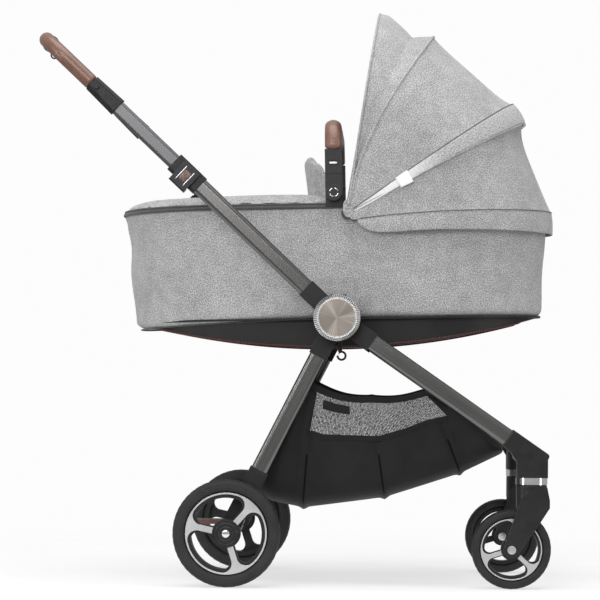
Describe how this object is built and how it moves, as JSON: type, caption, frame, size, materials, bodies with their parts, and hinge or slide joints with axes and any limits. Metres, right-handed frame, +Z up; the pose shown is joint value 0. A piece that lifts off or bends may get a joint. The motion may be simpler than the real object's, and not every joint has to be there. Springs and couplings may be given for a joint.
{
  "type": "baby stroller",
  "caption": "Folding baby stroller with a fabric carrycot, fanning hood, telescopic push handle, shopping basket, braked rear wheels and swivel front wheels.",
  "frame": {"origin": "on the floor, under the middle of the whole bounding box", "axes": "+X the way it travels, towards the hood end; +Y its left; +Z up"},
  "size_m": [0.9734, 0.586, 1.0984],
  "materials": {
    "grey_fabric": "soft woollen melange",
    "mattress_fabric": "plain quilted cotton",
    "basket_fabric": "black woven with a grey melange panel",
    "strap_fabric": "black webbing",
    "gunmetal_tube": "dark anodised, glossy",
    "silver_tube": "polished anodised",
    "inner_tube": "plain",
    "black_plastic": "fine texture",
    "wheel_plastic": "satin",
    "lever_plastic": "satin",
    "leather_grip": "brown, stitched",
    "hub_face": "radially brushed",
    "chrome_trim": "bright",
    "wheel_face": "satin silver",
    "tyre_rubber": "matt rubber",
    "axle_steel": "black"
  },
  "bodies": {
    "chassis": {"front_legs": "gunmetal_tube", "front_hub_plates": "black_plastic", "hub_shafts": "axle_steel", "hub_discs": "hub_face", "hub_rings": "chrome_trim", "front_elbow_left": "black_plastic", "front_elbow_right": "black_plastic", "front_cross_tubes": "axle_steel", "swivel_rings": "chrome_trim", "cot_sockets": "black_plastic", "fold_hook": "axle_steel", "basket": "basket_fabric"},
    "rear_frame": {"rear_legs": "gunmetal_tube", "rear_hub_plates": "black_plastic", "rear_feet": "black_plastic", "rear_axle": "axle_steel"},
    "brake": {"brake_pedal": "lever_plastic"},
    "handle_lower": {"lower_arms": "gunmetal_tube", "arm_hub_plates": "black_plastic", "clamp_bodies": "black_plastic"},
    "handle_upper": {"upper_arms": "silver_tube", "handle_collars": "black_plastic", "handlebar": "inner_tube", "handle_grip": "leather_grip", "wrist_strap": "strap_fabric"},
    "lever_left": {"clamp_lever_left": "lever_plastic"},
    "lever_right": {"clamp_lever_right": "lever_plastic"},
    "carrycot": {"cot_cover": "grey_fabric", "cot_tub": "black_plastic", "mattress": "mattress_fabric", "apron": "grey_fabric", "wind_flap": "grey_fabric", "cot_posts": "black_plastic", "rim_brackets": "black_plastic", "hood_rear_panel": "grey_fabric"},
    "carry_handle": {"carry_arms": "black_plastic", "carry_grip": "leather_grip"},
    "hood_mid": {"hood_mid_bow": "inner_tube", "hood_front_panel": "grey_fabric"},
    "hood_front": {"hood_front_bow": "inner_tube", "visor_panel": "grey_fabric"},
    "visor": {"visor_bow": "inner_tube"},
    "rear_wheel_left": {"rear_tyre_left": "tyre_rubber", "rear_rim_left": "wheel_plastic", "rear_trim_left": "wheel_face", "rear_hub_cap_left": "wheel_face"},
    "caster_left": {"fork_left": "black_plastic", "wheel_bolt_left": "chrome_trim"},
    "front_wheel_left": {"front_tyre_left": "tyre_rubber", "front_rim_left": "wheel_plastic", "front_trim_left": "wheel_face"},
    "rear_wheel_right": {"rear_tyre_right": "tyre_rubber", "rear_rim_right": "wheel_plastic", "rear_trim_right": "wheel_face", "rear_hub_cap_right": "wheel_face"},
    "caster_right": {"fork_right": "black_plastic", "wheel_bolt_right": "chrome_trim"},
    "front_wheel_right": {"front_tyre_right": "tyre_rubber", "front_rim_right": "wheel_plastic", "front_trim_right": "wheel_face"}
  },
  "joints": [
    {"name": "rear_fold", "type": "hinge", "parent": "chassis", "child": "rear_frame", "pos_m": [0.08066, 0, 0.501], "axis": [0, -1, 0], "range_deg": [0, 43]},
    {"name": "handle_fold", "type": "hinge", "parent": "chassis", "child": "handle_lower", "pos_m": [0.08066, 0, 0.501], "axis": [0, 1, 0], "range_deg": [0, 160]},
    {"name": "handle_slide", "type": "slide", "parent": "handle_lower", "child": "handle_upper", "axis": [0.729, 0, -0.6845], "range_m": [0, 0.09]},
    {"name": "clamp_left", "type": "hinge", "parent": "handle_lower", "child": "lever_left", "pos_m": [-0.17519, 0.2893, 0.76321], "axis": [0.729, 0, -0.6845], "range_deg": [0, 95]},
    {"name": "clamp_right", "type": "hinge", "parent": "handle_lower", "child": "lever_right", "pos_m": [-0.17519, -0.2893, 0.76321], "axis": [-0.729, 0, 0.6845], "range_deg": [0, 95]},
    {"name": "cot_lift", "type": "slide", "parent": "chassis", "child": "carrycot", "axis": [0, 0, 1], "range_m": [0, 0.12]},
    {"name": "carry_turn", "type": "hinge", "parent": "carrycot", "child": "carry_handle", "pos_m": [0.07128, 0, 0.73684], "axis": [0, -1, 0], "range_deg": [0, 80]},
    {"name": "hood_fold", "type": "hinge", "parent": "carrycot", "child": "hood_mid", "pos_m": [0.0961, 0, 0.69837], "axis": [0, 1, 0], "range_deg": [0, 26], "deforming": ["hood_rear_panel"]},
    {"name": "hood_front_fold", "type": "hinge", "parent": "hood_mid", "child": "hood_front", "pos_m": [0.0961, 0, 0.69837], "axis": [0, 1, 0], "range_deg": [0, 26], "deforming": ["hood_front_panel"]},
    {"name": "visor_fold", "type": "hinge", "parent": "hood_front", "child": "visor", "pos_m": [0.0961, 0, 0.69837], "axis": [0, 1, 0], "range_deg": [0, 12], "deforming": ["visor_panel"]},
    {"name": "brake_press", "type": "hinge", "parent": "rear_frame", "child": "brake", "pos_m": [-0.12034, 0, 0.1], "axis": [0, -1, 0], "range_deg": [0, 20]},
    {"name": "rear_wheel_turn_left", "type": "hinge", "parent": "rear_frame", "child": "rear_wheel_left", "pos_m": [-0.12034, 0.268, 0.1], "axis": [0, 1, 0], "continuous": true},
    {"name": "caster_turn_left", "type": "hinge", "parent": "chassis", "child": "caster_left", "pos_m": [0.44516, 0.222, 0.2], "axis": [0, 0, 1], "continuous": true},
    {"name": "front_wheel_turn_left", "type": "hinge", "parent": "caster_left", "child": "front_wheel_left", "pos_m": [0.40816, 0.222, 0.074], "axis": [0, 1, 0], "continuous": true},
    {"name": "rear_wheel_turn_right", "type": "hinge", "parent": "rear_frame", "child": "rear_wheel_right", "pos_m": [-0.12034, -0.268, 0.1], "axis": [0, 1, 0], "continuous": true},
    {"name": "caster_turn_right", "type": "hinge", "parent": "chassis", "child": "caster_right", "pos_m": [0.44516, -0.222, 0.2], "axis": [0, 0, 1], "continuous": true},
    {"name": "front_wheel_turn_right", "type": "hinge", "parent": "caster_right", "child": "front_wheel_right", "pos_m": [0.40816, -0.222, 0.074], "axis": [0, 1, 0], "continuous": true}
  ]
}
